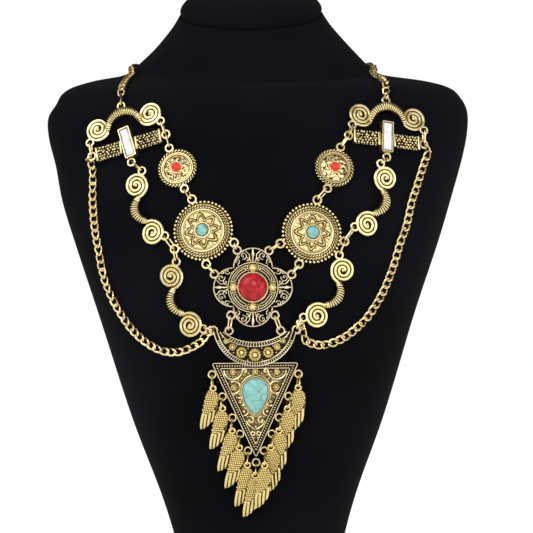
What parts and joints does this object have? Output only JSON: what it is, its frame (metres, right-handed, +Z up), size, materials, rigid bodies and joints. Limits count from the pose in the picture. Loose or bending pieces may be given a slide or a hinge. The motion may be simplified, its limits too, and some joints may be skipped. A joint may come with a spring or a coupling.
{
  "type": "statement necklace on a neck bust",
  "caption": "Antique gold bib necklace of linked scrolls, discs, medallion and winged triangle drop with coloured stones, displayed on a plain black velvet neck bust.",
  "frame": {"origin": "centre of the bounding box, on the surface that the neck bust stands on", "axes": "+Z up, -Y towards the front of the necklace, +X to the viewer's right"},
  "size_m": [0.1994, 0.1147, 0.2809],
  "materials": {
    "velvet": "black velvet pile, no shine",
    "gold": "yellow gold plate with dark patina in the recesses",
    "antique_gold": "paler antique gold, heavily patinated in the recesses",
    "wing_gold": "bright warm gold, satin",
    "chain_gold": "bright gold wire",
    "turquoise": "polished, grey-brown veins",
    "red_stone": "polished, darker and lighter veins",
    "coral": "glossy coral red",
    "crystal": "clear cut crystal over a bright foil"
  },
  "bodies": {
    "root": {"clasp": "chain_gold", "coral_bead_left": "coral", "coral_bead_right": "coral", "cross_bar_left": "antique_gold", "cross_bar_right": "antique_gold", "crystal_left": "crystal", "crystal_right": "crystal", "large_disc_left": "gold", "large_disc_right": "gold", "medallion": "antique_gold", "neck_bust": "velvet", "neck_chain_left": "chain_gold", "neck_chain_right": "chain_gold", "pear_stone": "turquoise", "pendant": "antique_gold", "red_cabochon": "red_stone", "ring_collar_left": "chain_gold", "ring_collar_right": "chain_gold", "ring_crescent_left": "chain_gold", "ring_crescent_right": "chain_gold", "ring_disc_left": "chain_gold", "ring_disc_right": "chain_gold", "ring_drop_left": "chain_gold", "ring_drop_right": "chain_gold", "ring_hub_left": "chain_gold", "ring_hub_right": "chain_gold", "ring_inner_left": "chain_gold", "ring_inner_right": "chain_gold", "ring_lower_left": "chain_gold", "ring_lower_right": "chain_gold", "ring_outer_left": "chain_gold", "ring_outer_right": "chain_gold", "ring_scroll_left": "chain_gold", "ring_scroll_right": "chain_gold", "ring_shoulder_left": "chain_gold", "ring_shoulder_right": "chain_gold", "s_scroll_lower_left": "gold", "s_scroll_lower_right": "gold", "s_scroll_upper_left": "gold", "s_scroll_upper_right": "gold", "scroll_bar_left": "gold", "scroll_bar_right": "gold", "side_chain_left": "chain_gold", "side_chain_right": "chain_gold", "small_disc_left": "gold", "small_disc_right": "gold", "turquoise_left": "turquoise", "turquoise_right": "turquoise", "wing_01": "wing_gold", "wing_02": "wing_gold", "wing_03": "wing_gold", "wing_04": "wing_gold", "wing_05": "wing_gold", "wing_06": "wing_gold", "wing_07": "wing_gold", "wing_08": "wing_gold", "wing_09": "wing_gold", "wing_10": "wing_gold", "wing_11": "wing_gold"}
  },
  "joints": []
}
